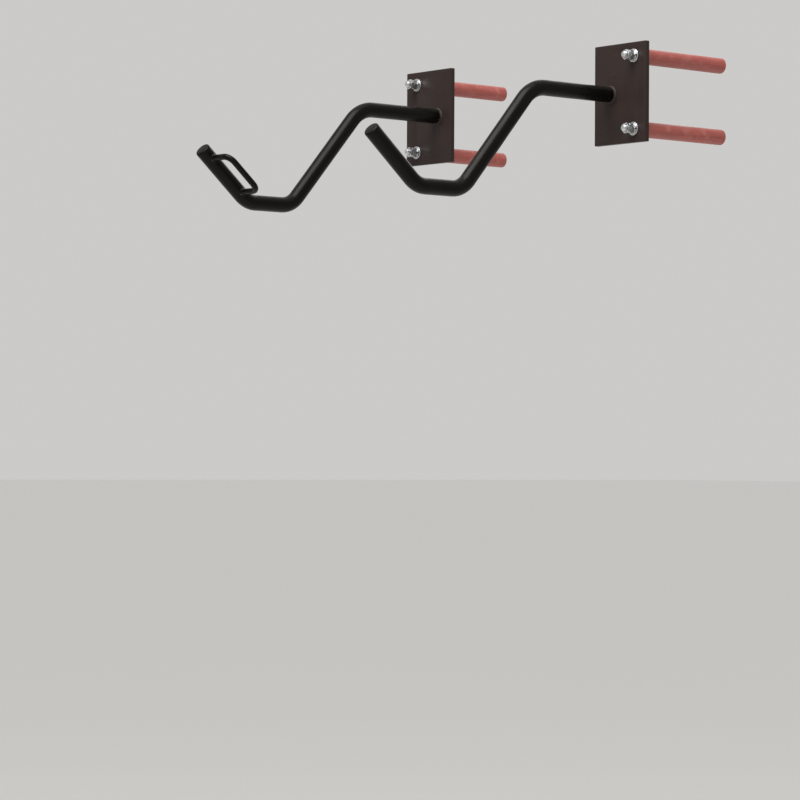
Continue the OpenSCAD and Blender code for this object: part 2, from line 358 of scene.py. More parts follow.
def finish_piece(piece, material, slot, *nodes):
    """Gives a piece its material, and lets it ride on the rack in place of its CAD nodes."""
    piece.data.materials.clear()
    piece.data.materials.append(material)
    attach(piece, "root")
    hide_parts(*nodes)


def boolean(piece, other, operation):
    """Joins another closed object to the piece, or cuts it away, and removes that object."""
    step = piece.modifiers.new(operation, "BOOLEAN")
    step.operation = operation
    step.solver = "EXACT"
    step.object = other
    evaluated = piece.evaluated_get(bpy.context.evaluated_depsgraph_get())
    mesh = bpy.data.meshes.new_from_object(evaluated)
    piece.modifiers.clear()
    piece.data = mesh
    bpy.data.objects.remove(other)


def roughen(bm, amount, grain):
    """Lets a skin wander inwards by a slow noise of that amount and grain."""
    bm.normal_update()
    for vert in bm.verts:
        wander = 0.5 + 0.5 * noise.noise(vert.co / grain)
        vert.co -= vert.normal * (amount * min(max(wander, 0), 1))


# ---- Node helpers ----


class Graph:
    """Short calls for making shader nodes and joining them."""

    def __init__(self, tree):
        self.tree = tree
        self.shader = tree.nodes.get("Principled BSDF")

    def node(self, kind, inputs=None, **settings):
        """A new node; an input given as a socket is linked, and any other value is set on it."""
        made = self.tree.nodes.new(kind)
        row, column = divmod(len(self.tree.nodes), 12)
        made.location = (220 * column, -260 * row)
        for name, value in settings.items():
            setattr(made, name, value)
        for key, value in (inputs or {}).items():
            self.feed(made.inputs[key], value)
        return made

    def feed(self, socket, value):
        """Links another socket to this one, or sets a value on it."""
        if isinstance(value, bpy.types.NodeSocket):
            self.tree.links.new(value, socket)
        else:
            socket.default_value = value

    def noise(self, vector, scale, detail=4.0, roughness=0.55, distortion=0.0):
        inputs = {"Vector": vector, "Scale": scale, "Detail": detail, "Roughness": roughness}
        inputs["Distortion"] = distortion
        return self.node("ShaderNodeTexNoise", inputs).outputs["Fac"]

    def math(self, operation, a, b, clamp=False):
        made = self.node("ShaderNodeMath", {0: a, 1: b}, operation=operation, use_clamp=clamp)
        return made.outputs[0]

    def times(self, a, b, clamp=False):
        return self.math("MULTIPLY", a, b, clamp)

    def remap(self, value, from_low, from_high, to_low=0.0, to_high=1.0):
        inputs = {0: value, 1: from_low, 2: from_high, 3: to_low, 4: to_high}
        return self.node("ShaderNodeMapRange", inputs, clamp=True).outputs[0]

    def mix(self, mask, a, b):
        """Colour a where the mask is 0 and b where it is 1; a may be a socket."""
        made = self.node("ShaderNodeMix", {0: mask}, data_type="RGBA")
        self.feed(made.inputs[6], a if isinstance(a, bpy.types.NodeSocket) else (*a, 1))
        self.feed(made.inputs[7], (*b, 1))
        return made.outputs[2]

    def group(self, name, **inputs):
        """Places a shared effect and sets its named inputs."""
        made = self.node("ShaderNodeGroup", node_tree=bpy.data.node_groups[name])
        for key, value in inputs.items():
            self.feed(made.inputs[key.replace("_", " ").title()], value)
        return made.outputs[0]

    def mottled(self, scale, contrast, low, high, start=0.0):
        """Runs from low to high in patches, and stays low where the mottle is under start."""
        mottle = self.group("Mottle", scale=scale, contrast=contrast)
        return self.remap(mottle, start, 1.0, low, high)

    def duller(self, gloss, mask, amount):
        """Roughness with an amount added where the mask is 1."""
        return self.math("ADD", gloss, self.times(mask, amount), clamp=True)

    def put_out(self, value):
        self.node("NodeGroupOutput", {0: value})

    def dress(self, base, gloss, relief, strength, depth, **constants):
        """Joins colour, roughness and relief to the shader, and sets its constants."""
        inputs = {"Strength": strength, "Distance": depth, "Height": relief}
        bumped = self.node("ShaderNodeBump", inputs).outputs[0]
        sockets = {"Base_Color": base, "Roughness": gloss, "Normal": bumped, **constants}
        for key, value in sockets.items():
            self.feed(self.shader.inputs[key.replace("_", " ")], value)


def effect(name, output, **inputs):
    """Starts a shared effect: a node group with named value inputs and one value output."""
    tree = bpy.data.node_groups.new(name, "ShaderNodeTree")
    kind = "NodeSocketFloat"
    for key, default in inputs.items():
        label = key.replace("_", " ").title()
        socket = tree.interface.new_socket(label, in_out="INPUT", socket_type=kind)
        socket.default_value = default
    tree.interface.new_socket(output, in_out="OUTPUT", socket_type=kind)
    graph = Graph(tree)
    given = graph.node("NodeGroupInput").outputs
    where = graph.node("ShaderNodeTexCoord").outputs["Object"]
    return graph, given, where


def make_mottle():
    """Slow change from place to place, from 0 to 1."""
    graph, given, where = effect("Mottle", "Value", scale=30.0, contrast=1.0)
    slow = graph.noise(where, given["Scale"], detail=5.0, roughness=0.6)
    centred = graph.math("SUBTRACT", slow, 0.5)
    stretched = graph.times(centred, given["Contrast"])
    graph.put_out(graph.math("ADD", stretched, 0.5, clamp=True))


def make_edge_wear():
    """1 along worn outside edges, broken up by noise, and 0 elsewhere."""
    graph, given, where = effect("Edge Wear", "Mask", width=0.002, breakup=300.0, amount=1.0)
    rounded = graph.node("ShaderNodeBevel", {"Radius": given["Width"]}, samples=6).outputs[0]
    true = graph.node("ShaderNodeNewGeometry").outputs["True Normal"]
    aligned = graph.node("ShaderNodeVectorMath", {0: rounded, 1: true}, operation="DOT_PRODUCT")
    edge = graph.remap(aligned.outputs["Value"], 0.995, 0.80)
    patches = graph.noise(where, given["Breakup"], detail=6.0, roughness=0.7)
    worn = graph.times(edge, graph.remap(patches, 0.40, 0.68))
    graph.put_out(graph.times(worn, given["Amount"], clamp=True))


def make_dust():
    """1 where dust lies on faces that look up."""
    graph, given, where = effect("Dust", "Mask", scale=60.0, amount=0.3)
    normal = graph.node("ShaderNodeNewGeometry").outputs["Normal"]
    up = graph.remap(graph.node("ShaderNodeSeparateXYZ", {0: normal}).outputs["Z"], 0.35, 1.0)
    patches = graph.noise(where, given["Scale"], detail=8.0, roughness=0.72)
    lying = graph.times(up, graph.remap(patches, 0.35, 0.75))
    graph.put_out(graph.times(lying, given["Amount"], clamp=True))


def make_scratches():
    """Thin lines where something has rubbed along the rack's width."""
    graph, given, where = effect("Scratches", "Mask", scale=40.0, stretch=18.0, amount=0.5)
    slant = (0.4, 0.3, 0.5)
    turned = graph.node("ShaderNodeMapping", {"Vector": where, "Rotation": slant}).outputs[0]
    split = graph.node("ShaderNodeSeparateXYZ", {0: turned}).outputs
    across = graph.times(split["Z"], given["Stretch"])
    long_way = graph.node("ShaderNodeCombineXYZ", {0: split["X"], 1: split["Y"], 2: across})
    lines = graph.noise(long_way.outputs[0], given["Scale"], detail=3.0, distortion=0.3)
    lines = graph.remap(lines, 0.66, 0.72)
    places = graph.remap(graph.noise(where, 14.0, detail=2.0), 0.48, 0.62)
    seen = graph.times(lines, places)
    graph.put_out(graph.times(seen, given["Amount"], clamp=True))


def make_pebble():
    """The fine, soft bumps of a sprayed or dipped skin."""
    graph, given, where = effect("Pebble", "Height", scale=900.0, waves=60.0, wave_share=0.5)
    fine = graph.noise(where, given["Scale"], detail=2.0, roughness=0.4)
    slow = graph.noise(where, given["Waves"], detail=2.0, roughness=0.4)
    graph.put_out(graph.math("ADD", fine, graph.times(slow, given["Wave Share"])))


def new_finish(name):
    material = bpy.data.materials.new(name)
    material.use_nodes = True
    return material, Graph(material.node_tree)


def shades(colour, darker, lighter):
    """Two shades of a colour, for a pattern to run between."""
    return [c * darker for c in colour], [c * lighter for c in colour]


# ---- Finishes ----


def paint_finish(colours):
    """Semi-gloss brown-black paint with orange peel, rubbed thin at the edges."""
    material, graph = new_finish("Plate Paint")
    tone = graph.group("Mottle", scale=22.0, contrast=1.6)
    base = graph.mix(tone, *shades(colours.paint, 0.86, 1.14))
    wear = graph.group("Edge Wear", width=1.6 * MM, breakup=260.0, amount=0.75)
    rubs = graph.group("Scratches", scale=55.0, stretch=22.0, amount=0.5)
    base = graph.mix(graph.math("MAXIMUM", wear, rubs), base, colours.worn_paint_and_zinc_shade)
    dust = graph.group("Dust", scale=90.0, amount=0.5)
    base = graph.mix(dust, base, colours.dust)
    gloss = graph.duller(graph.mottled(70.0, 1.8, 0.40, 0.56), dust, 0.3)
    peel = graph.group("Pebble", scale=650.0, waves=120.0, wave_share=0.7)
    graph.dress(base, gloss, peel, 0.35, 0.12 * MM, Specular_IOR_Level=0.17)
    return material


def bead_finish(colours):
    """The plate's paint over a weld bead, thin on the ripples' crests."""
    material, graph = new_finish("Weld Paint")
    tone = graph.group("Mottle", scale=160.0, contrast=2.2)
    base = graph.mix(tone, *shades(colours.paint, 0.7, 1.25))
    wear = graph.group("Edge Wear", width=0.6 * MM, breakup=700.0, amount=0.25)
    base = graph.mix(wear, base, colours.worn_paint_and_zinc_shade)
    gloss = graph.remap(tone, 0.0, 1.0, 0.38, 0.6)
    grain = graph.group("Pebble", scale=1800.0, waves=400.0, wave_share=0.6)
    graph.dress(base, gloss, grain, 0.5, 0.1 * MM, Specular_IOR_Level=0.2)
    return material


def vinyl_finish(colours):
    """Satin black vinyl: a fine pebble, faint runs, light scuffs and a little dust on top."""
    material, graph = new_finish("Dipped Vinyl")
    tone = graph.group("Mottle", scale=26.0, contrast=1.5)
    base = graph.mix(tone, *shades(colours.vinyl, 0.8, 1.2))
    scuffs = graph.group("Scratches", scale=70.0, stretch=9.0, amount=0.6)
    base = graph.mix(scuffs, base, colours.scuffed_vinyl)
    dust = graph.group("Dust", scale=110.0, amount=0.08)
    base = graph.mix(dust, base, colours.dust)
    gloss = graph.mottled(48.0, 2.0, 0.24, 0.34)
    gloss = graph.duller(gloss, graph.math("MAXIMUM", scuffs, dust), 0.35)
    skin = graph.group("Pebble", scale=1100.0, waves=90.0, wave_share=2.5)
    graph.dress(base, gloss, skin, 0.12, 0.10 * MM, Specular_IOR_Level=0.09)
    return material


def zinc_finish(colours):
    """Bright zinc plate, cloudy in patches, with painted shade darkening its corners and crevices.
    """
    material, graph = new_finish("Bright Zinc")
    cloud = graph.group("Mottle", scale=240.0, contrast=2.4)
    base = graph.mix(cloud, colours.zinc, colours.dull_zinc)
    # Painted shade: an ambient occlusion mask darkens the zinc in its corners and crevices, towards
    # the dark worn-paint colour.
    corner_occlusion = graph.node("ShaderNodeAmbientOcclusion", {"Distance": 2.5 * MM}, samples=8)
    painted_shade = graph.math("SUBTRACT", 1.0, graph.remap(corner_occlusion.outputs["AO"], 0.25, 0.85))
    base = graph.mix(graph.times(painted_shade, 0.55), base, colours.worn_paint_and_zinc_shade)
    where = graph.node("ShaderNodeTexCoord").outputs["Object"]
    rubbed = graph.noise(where, 1500.0, detail=3.0)
    gloss = graph.remap(cloud, 0.0, 1.0, 0.26, 0.44)
    graph.dress(base, gloss, rubbed, 0.25, 0.04 * MM, Metallic=1.0)
    return material


def nylon_finish(colours):
    """Moulded red nylon with flow lines along the sleeve, chalky with masonry dust."""
    material, graph = new_finish("Red Nylon")
    where = graph.node("ShaderNodeTexCoord").outputs["Object"]
    along = graph.node("ShaderNodeMapping", {"Vector": where, "Scale": (1.0, 0.06, 1.0)})
    flow = graph.noise(along.outputs[0], 420.0)
    base = graph.mix(graph.remap(flow, 0.3, 0.7), *shades(colours.nylon, 0.82, 1.12))
    chalk = graph.mottled(65.0, 2.6, 0.0, 0.55, start=0.55)
    base = graph.mix(chalk, base, colours.pale_nylon)
    dust = graph.group("Dust", scale=80.0, amount=0.35)
    base = graph.mix(dust, base, colours.pale_nylon)
    gloss = graph.duller(graph.remap(flow, 0.3, 0.7, 0.38, 0.52), chalk, 0.5)
    graph.dress(base, gloss, flow, 0.3, 0.08 * MM, Specular_IOR_Level=0.4)
    return material


def steel_finish(colours):
    """Bare drawn steel: faint streaks, and brown where it has begun to rust."""
    material, graph = new_finish("Drawn Steel")
    where = graph.node("ShaderNodeTexCoord").outputs["Object"]
    streaks = graph.noise(where, 350.0, detail=5.0)
    rust = graph.mottled(120.0, 2.5, 0.0, 0.7, start=0.6)
    base = graph.mix(graph.remap(streaks, 0.3, 0.7), *shades(colours.steel, 0.8, 1.1))
    base = graph.mix(rust, base, colours.rust)
    gloss = graph.remap(streaks, 0.3, 0.7, 0.32, 0.5)
    graph.dress(base, gloss, streaks, 0.2, 0.05 * MM, Metallic=0.9)
    return material


# ---- Arms ----


def arm_path(sizes):
    """An arm's runs from its plate to the steel end of its tip, with the turn after each."""
    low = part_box("vinyl_coat_right")[0]
    drop = -low.z - COAT_R
    drop_slant = drop / math.sin(sizes.drop_angle)
    upper_tangent = sizes.upper_bend_r * math.tan(sizes.drop_angle / 2)
    cradle_tangent = sizes.cradle_bend_r * math.tan(sizes.drop_angle / 2)
    tip_tangent = sizes.cradle_bend_r * math.tan(sizes.tip_angle / 2)
    last_corner = PLATE_FACE + sizes.upper_reach + drop / math.tan(sizes.drop_angle)
    last_corner += sizes.cradle_run
    beyond = -low.y - last_corner - sizes.end_round
    beyond -= (COAT_R - sizes.end_round) * math.sin(sizes.tip_angle)
    tip = beyond / math.cos(sizes.tip_angle) + sizes.end_round - sizes.coat_t
    return [
        (sizes.upper_reach - upper_tangent, sizes.drop_angle, sizes.upper_bend_r),
        (drop_slant - upper_tangent - cradle_tangent, -sizes.drop_angle, sizes.cradle_bend_r),
        (sizes.cradle_run - cradle_tangent - tip_tangent, -sizes.tip_angle, sizes.cradle_bend_r),
        (tip - tip_tangent, 0.0, 0.0),
    ]


def follow(sweep, path, start, end, step):
    """Carries a sweep along an arm's path, from start after its first end to end past its last."""
    for index, (run, turn, bend_r) in enumerate(path):
        first, last = index == 0, index == len(path) - 1
        run = run - (start if first else 0) + (end if last else 0)
        sweep.straight(run, steps=max(1, round(run / step)))
        if turn:
            sweep.bend(turn, bend_r, steps=max(4, round(abs(turn) * bend_r / step)))


def coat_skin(sizes, side):
    """A coat's skin and bore, closed by a soft lip at the plate and a flattish dome at the tip."""
    bm = bmesh.new()
    path = arm_path(sizes)
    start = COAT_START - PLATE_FACE
    bore_r = COAT_R - sizes.coat_t
    centre = (side * ARM_X, -COAT_START, 0)
    outwards = (0, -1, 0)
    turn_axis = (1, 0, 0)
    lip = ring(bm, sizes.ring_points, bore_r, facing(centre, outwards))
    outer = Sweep(bm, lip, centre, outwards, turn_axis, bore_r)
    outer.round_over(sizes.coat_t, 4, inward=False)
    follow(outer, path, start + sizes.coat_t, sizes.coat_t - sizes.end_round, SKIN_STEP)
    outer.round_over(sizes.end_round, 6)
    for bulge, share in ((0.25 * MM, 0.6), (0.10 * MM, 0.3)):
        outer.straight(bulge, radius=outer.radius * share)
    outer.cap()
    bore = Sweep(bm, lip, centre, outwards, turn_axis, bore_r)
    follow(bore, path, start, 0.0, BORE_STEP)
    bore.cap()
    return tidy(bm)


def tip_frame(sizes, side):
    """A frame at the start of the straight tip: X along the tip, Y towards the rack's middle."""
    bm = bmesh.new()
    centre = Vector((side * ARM_X, -PLATE_FACE, 0))
    outwards = Vector((0, -1, 0))
    walk = Sweep(bm, ring(bm, 3, 1.0, facing(centre, outwards)), centre, outwards, (1, 0, 0), 1.0)
    for run, turn, bend_r in arm_path(sizes)[:-1]:
        walk.straight(run)
        walk.bend(turn, bend_r, 1)
    bm.free()
    inboard = Vector((-side, 0, 0))
    up = walk.heading.cross(inboard)
    axes = Matrix((walk.heading, inboard, up)).transposed().to_4x4()
    return Matrix.Translation(walk.centre) @ axes


def eye_foot(leg_r, fillet):
    """Radii, and heights over the coat, of the rings that flare a leg of the eye into it."""
    toe, sunk, steps = 0.16 * MM, 0.45 * MM, 8
    turns = [math.pi / 2 * i / steps for i in range(steps + 1)]
    flare = [(leg_r + fillet * (1 - math.cos(a)), fillet * (1 - math.sin(a)) - toe) for a in turns]
    foot_r = leg_r + fillet
    return flare + [(foot_r, -sunk), (foot_r * 0.5, -sunk), (0.3 * MM, -sunk)]


def eye_skin(eye, arm):
    """The eye's coat: a leg out from the arm, along it and back, with a flared foot at each end."""
    bm = bmesh.new()
    flare = eye_foot(eye.bar_r, eye.foot_fillet)
    flare_top = COAT_R + eye.foot_fillet + 2 * MM

    def saddle(verts, radius, height, leg_x):
        """Sets a ring round a leg at a height over the arm's curved surface."""
        for vert in verts:
            offset = Vector((vert.co.x - leg_x, 0, vert.co.z)).normalized() * radius
            surface = math.sqrt(max(COAT_R ** 2 - offset.z ** 2, 0))
            vert.co = (leg_x + offset.x, surface + height, offset.z)

    def foot(sweep, stations, leg_x):
        for radius, height in stations:
            sweep.straight(MM)
            saddle(corners_of(sweep.ring), radius, height, leg_x)

    first = ring(bm, BAR_POINTS, eye.bar_r, facing((0, 0, 0), (0, 1, 0)))
    sweep = Sweep(bm, first, (0, 0, 0), (0, 1, 0), (0, 0, -1), eye.bar_r)
    saddle(corners_of(first), *flare[-1], 0.0)
    sweep.cap()
    foot(sweep, flare[-2::-1], 0.0)
    sweep.straight(MM)
    for vert in corners_of(sweep.ring):
        vert.co.y = flare_top
    sweep.centre = Vector((0, flare_top, 0))
    sweep.straight(eye.reach - eye.bend_r - flare_top, steps=3)
    sweep.bend(math.pi / 2, eye.bend_r, BEND_STEPS)
    sweep.straight(eye.span - 2 * eye.bend_r, steps=8)
    sweep.bend(math.pi / 2, eye.bend_r, BEND_STEPS)
    sweep.straight(sweep.centre.y - flare_top, steps=3)
    foot(sweep, flare, eye.span)
    sweep.cap()
    move(bm, tip_frame(arm, SIDES["left"]) @ Matrix.Translation((eye.start, 0, 0)))
    return tidy(bm)


class RACK_OT_arm_coats(bpy.types.Operator):
    """Makes the dipped vinyl coats of both arms, the left one with its lock eye"""

    bl_idname = "rack.arm_coats"
    bl_label = "Arm Coats"

    def execute(self, context):
        arm, eye = context.scene.rack_arm, context.scene.rack_eye
        vinyl = vinyl_finish(context.scene.rack_colours)
        for side, sign in SIDES.items():
            bm = coat_skin(arm, sign)
            roughen(bm, arm.unevenness, WANDER)
            coat = object_from(f"dipped_coat_{side}", bm)
            if side == "left":
                boolean(coat, object_from("eye_coat", eye_skin(eye, arm)), "UNION")
            finish_piece(coat, vinyl, "vinyl", f"vinyl_coat_{side}")
        return {"FINISHED"}


# ---- Plates ----


def rectangle_ring(bm, width, height, corner_r, z):
    """Edges of a new rectangle with round corners, level with z."""
    made = bmesh.ops.create_grid(bm, x_segments=1, y_segments=1, size=0.5)["verts"]
    bmesh.ops.scale(bm, verts=made, vec=(width, height, 1))
    bmesh.ops.translate(bm, verts=made, vec=(0, 0, z))
    rounded = bmesh.ops.bevel(
        bm, geom=made, offset=corner_r, offset_type="OFFSET", segments=5, profile=0.5,
        affect="VERTICES", material=-1, clamp_overlap=False,
    )
    edges = list({e for v in rounded["verts"] for e in v.link_edges})
    bmesh.ops.delete(bm, geom=edges[0].link_faces[:], context="FACES_ONLY")
    return edges


def edge_stations(round_r, thickness, steps):
    """Pairs of inset and height over a plate's edge, rounded at both faces."""
    quarter = [math.pi / 2 * i / steps for i in range(steps + 1)]
    low = [(round_r * (1 - math.sin(a)), round_r * (1 - math.cos(a))) for a in quarter]
    return low + [(inset, thickness - z) for inset, z in reversed(low)]


def walled(stations, bm, make_ring):
    """Bridges a stack of rings into a wall, and gives its first and last rings."""
    rings = [make_ring(inset, z) for inset, z in stations]
    for below, above in zip(rings, rings[1:]):
        bmesh.ops.bridge_loops(bm, edges=below + above)
    return rings[0], rings[-1]


class RACK_OT_wall_plates(bpy.types.Operator):
    """Makes the two painted wall plates, each with two anchor holes"""

    bl_idname = "rack.wall_plates"
    bl_label = "Wall Plates"

    def execute(self, context):
        sizes = context.scene.rack_plate
        paint = paint_finish(context.scene.rack_colours)
        for side in SIDES:
            node = f"wall_plate_{side}"
            extent = size_of(node)
            place = out_of_wall(node)
            bm = bmesh.new()

            def outside(inset, z):
                width, height = extent.x - 2 * inset, extent.z - 2 * inset
                return rectangle_ring(bm, width, height, sizes.corner_r - 0.6 * inset, z)

            def bore(inset, z):
                centre = Matrix.Translation((hole.x, hole.y, z))
                return ring(bm, BORE_POINTS, sizes.hole_r + 0.5 * inset, centre)

            stations = edge_stations(sizes.edge_round, extent.y, 4)
            walls = [walled(stations, bm, outside)]
            for row in ("upper", "lower"):
                hole = place.inverted() @ middle_of(f"flat_washer_{row}_{side}")
                walls.append(walled(stations, bm, bore))
            for face in (0, 1):
                edges = [e for wall in walls for e in wall[face]]
                bmesh.ops.triangle_fill(bm, use_beauty=True, edges=edges)
            tidy(bm)
            move(bm, place)
            finish_piece(object_from(f"painted_plate_{side}", bm), paint, "plate_paint", node)
        return {"FINISHED"}


class RACK_OT_weld_beads(bpy.types.Operator):
    """Makes the rippled weld bead round each arm's foot"""

    bl_idname = "rack.weld_beads"
    bl_label = "Weld Beads"

    def execute(self, context):
        sizes = context.scene.rack_plate
        bead = bead_finish(context.scene.rack_colours)
        for side in SIDES:
            node = f"plate_weld_{side}"
            base, top = heights_of(node)
            leg = top - base
            foot_r = size_of(node).x / 2 - leg
            inset, near = 0.3 * leg, 0.02 * leg
            bm = bmesh.new()
            curve = arc(foot_r - inset, base - inset, leg + inset, 12, 78, 8)
            outline = [(foot_r, base), *curve, (foot_r, base + leg * 0.97)]
            lathe(bm, outline, sizes.bead_ripples * RIPPLE_STEPS)
            tidy(bm)
            bm.normal_update()
            for vert in bm.verts:
                out, up = math.hypot(vert.co.x, vert.co.y) - foot_r, vert.co.z - base
                if min(out, up) < near:
                    continue
                turn = math.atan2(vert.co.y, vert.co.x) / math.tau
                crescent = 0.35 * ((out - up) / leg) ** 2
                uneven = 0.3 * noise.noise(vert.co / (4 * MM))
                phase = (turn * sizes.bead_ripples + crescent + uneven) % 1.0
                vert.co += vert.normal * (sizes.bead_ripple_h * (1 - phase) ** 2 - 0.1 * MM)
            move(bm, out_of_wall(node))
            piece = object_from(f"weld_bead_{side}", bm, crease=60.0)
            finish_piece(piece, bead, "weld_paint", node)
        return {"FINISHED"}


# ---- Anchors ----


def stud_mesh(sizes, radius, low, high):
    """A threaded rod: one turn of thread repeated, cut square and chamfered at both ends."""
    bm = bmesh.new()
    pitch, root_r = sizes.thread_pitch, radius - sizes.thread_depth
    turns = math.ceil((high - low) / pitch) + 3
    start = low - 1.5 * pitch
    # The thread's outline over one turn: radii, and how far along the pitch each lies.
    section = [(root_r, 0), (radius, 0.34), (radius, 0.46), (root_r, 0.80), (root_r, 1.0)]
    section = [(r, start + share * pitch) for r, share in section]
    verts, edges = outline_in(bm, section, closed=False)
    spin_up(bm, verts + edges, math.tau, THREAD_STEPS, rise=pitch / THREAD_STEPS)
    made = 1
    while made < turns:
        copy = bmesh.ops.duplicate(bm, geom=bm.verts[:] + bm.edges[:] + bm.faces[:])["geom"]
        bmesh.ops.translate(bm, verts=verts_in(copy), vec=(0, 0, made * pitch))
        made *= 2
    bmesh.ops.remove_doubles(bm, verts=bm.verts, dist=0.02 * MM)
    end_r = radius - sizes.stud_chamfer
    for vert in bm.verts:
        inside = min(vert.co.z - low, high - vert.co.z)
        limit = max(end_r + inside, end_r * 0.9)
        across = math.hypot(vert.co.x, vert.co.y)
        if across > limit:
            vert.co.xy *= limit / across
    for z, normal in ((low, (0, 0, -1)), (high, (0, 0, 1))):
        bmesh.ops.bisect_plane(
            bm, geom=bm.verts[:] + bm.edges[:] + bm.faces[:], plane_co=(0, 0, z),
            plane_no=normal, clear_outer=True, dist=1e-7,
        )
    bmesh.ops.holes_fill(bm, edges=[e for e in bm.edges if e.is_boundary], sides=0)
    return tidy(bm)


def flat_washer_mesh(sizes, radius, low, high):
    """A stamped washer, rounded over on its outer face and sharp on its inner one."""
    bm = bmesh.new()
    over, burr = 0.45 * MM, 0.12 * MM
    bore_r = sizes.washer_bore_r
    outline = [(bore_r, low + burr), (bore_r + burr, low)]
    outline += [(radius - burr, low), (radius, low + burr)]
    outline += arc(radius - over, high - over, over, 0, 90, 5)
    outline += arc(bore_r + over, high - over, over, 90, 180, 4)
    lathe(bm, outline, WASHER_STEPS)
    return tidy(bm)


def spring_washer_mesh(sizes, radius, low, high):
    """A split washer whose two ends still stand a little apart."""
    bm = bmesh.new()
    over = 0.3 * MM
    inner, outer = sizes.washer_bore_r, radius
    top = high - sizes.spring_rise
    corners = ((outer - over, top - over), (inner + over, top - over))
    corners += ((inner + over, low + over), (outer - over, low + over))
    outline = []
    for index, (r, z) in enumerate(corners):
        outline += arc(r, z, over, 90 * index, 90 * (index + 1), 3)
    verts, edges = outline_in(bm, outline)
    half_gap = math.asin(sizes.spring_gap / (inner + outer))
    bmesh.ops.rotate(bm, verts=verts, cent=(0, 0, 0), matrix=Matrix.Rotation(half_gap, 3, "Z"))
    bm.faces.new(verts)
    turn = math.tau - 2 * half_gap
    rise = sizes.spring_rise / SPRING_STEPS
    made = spin_up(bm, edges + verts, turn, SPRING_STEPS, rise)
    bmesh.ops.contextual_create(bm, geom=edges_in(made["geom_last"]))
    return tidy(bm)


def nut_mesh(sizes, across_flats, low, high):
    """A hexagon nut with both faces chamfered, and its bore opened a little at both ends."""
    bm = bmesh.new()
    flat_r, bore_r, sink = across_flats / 2, sizes.nut_bore_r, 0.5 * MM
    face_r, mouth_r = flat_r * 0.985, bore_r + sink
    edges = ring(bm, BORE_POINTS, bore_r, Matrix.Translation((0, 0, low + sink)))
    # Radius, height, and which way a six-sided ring droops at its corners; 0 is a round one.
    stations = ((mouth_r, low, 0), (face_r, low, 0), (flat_r, low, -1), (flat_r, high, 1))
    stations += ((face_r, high, 0), (mouth_r, high, 0), (bore_r, high - sink, 0))
    for radius, z, hexed in (*stations, (bore_r, low + sink, 0)):
        made = bmesh.ops.extrude_edge_only(bm, edges=edges)["geom"]
        new = set(verts_in(made))
        for vert in new:
            turn = math.atan2(vert.co.y, vert.co.x)
            off_flat = turn % (math.pi / 3) - math.pi / 6
            reach = radius / math.cos(off_flat) if hexed else radius
            droop = hexed * 0.5 * (reach - face_r)
            vert.co = (reach * math.cos(turn), reach * math.sin(turn), z - droop)
        edges = [e for e in edges_in(made) if new.issuperset(e.verts)]
    tidy(bm)

    def is_corner(edge):
        upright = abs(edge.verts[0].co.z - edge.verts[1].co.z) > 0.9 * edge.calc_length()
        far_out = min(math.hypot(v.co.x, v.co.y) for v in edge.verts) > flat_r * 1.1
        return upright and far_out and edge.calc_face_angle() > 0.9

    bmesh.ops.bevel(
        bm, geom=[e for e in bm.edges if is_corner(e)], offset=0.3 * MM, offset_type="OFFSET",
        segments=2, profile=0.5, affect="EDGES", material=-1,
    )
    return bm


def sleeve_mesh(sizes, radius, low, high):
    """A nylon sleeve with shallow grip grooves round its split end and a flared mouth."""
    bm = bmesh.new()
    edge, fit = 0.8 * MM, 0.1 * MM
    groove_r, pitch = radius - 0.35 * MM, 9 * MM
    bore_r = sizes.sleeve_bore_r
    outline = [(bore_r, high), (radius - edge, high), (radius, high - edge)]
    z = low + sizes.split_len
    while z > low + 2 * pitch / 3:
        outline += [(radius, z), (groove_r, z - 0.4 * MM)]
        outline += [(groove_r, z - 2.2 * MM), (radius, z - 3.4 * MM)]
        z -= pitch
    cone_r = size_of("cone_nut_upper_left").x / 2
    cone_top = heights_of("cone_nut_upper_left")[1]
    outline += [(radius, low + edge), (radius - edge, low), (cone_r + fit, low)]
    outline += [(CONE_TIP_R + fit, cone_top), (bore_r, cone_top)]
    lathe(bm, outline, SLEEVE_STEPS)
    return tidy(bm)


def slab_mesh(sizes, radius, low):
    """An upright slab that cuts the split across a sleeve's end."""
    bm = bmesh.new()
    length_z = sizes.split_len + 5 * MM
    bmesh.ops.create_cube(bm, size=1.0)
    bmesh.ops.scale(bm, verts=bm.verts, vec=(sizes.split_w, 2.4 * radius, length_z))
    bmesh.ops.translate(bm, verts=bm.verts, vec=(0, 0, low + sizes.split_len - length_z / 2))
    return bm


def cone_mesh(sizes, radius, low, high):
    """The cone nut, with its edges broken."""
    bm = bmesh.new()
    edge, bore_r = 0.4 * MM, sizes.nut_bore_r
    taper = (radius - CONE_TIP_R) / (high - low) * edge
    outline = [(bore_r, low + edge), (bore_r + edge, low)]
    outline += [(radius - edge, low), (radius - taper, low + edge)]
    outline += [(CONE_TIP_R + taper, high - edge), (CONE_TIP_R - edge, high)]
    outline += [(bore_r + edge, high), (bore_r, high - edge)]
    lathe(bm, outline, SLEEVE_STEPS)
    return tidy(bm)


def place_piece(name, bm, node, material=None, slot="zinc", turn=0.0, crease=35.0):
    """Moves an anchor's piece from its own frame to its place; it is zinc if not told otherwise."""
    move(bm, out_of_wall(node) @ Matrix.Rotation(turn, 4, "Z"))
    piece = object_from(name, bm, crease)
    finish_piece(piece, material or bpy.data.materials["Bright Zinc"], slot, node)
    return piece


def round_pieces(context, *kinds):
    """Makes zinc pieces of these kinds at every anchor, to their CAD nodes' radii and heights."""
    for anchor in ANCHORS:
        for kind, name, make in kinds:
            node = f"{kind}_{anchor}"
            extent = size_of(node)
            radius = max(extent.x, extent.z) / 2
            bm = make(context.scene.rack_anchor, radius, *heights_of(node))
            place_piece(f"{name}_{anchor}", bm, node)


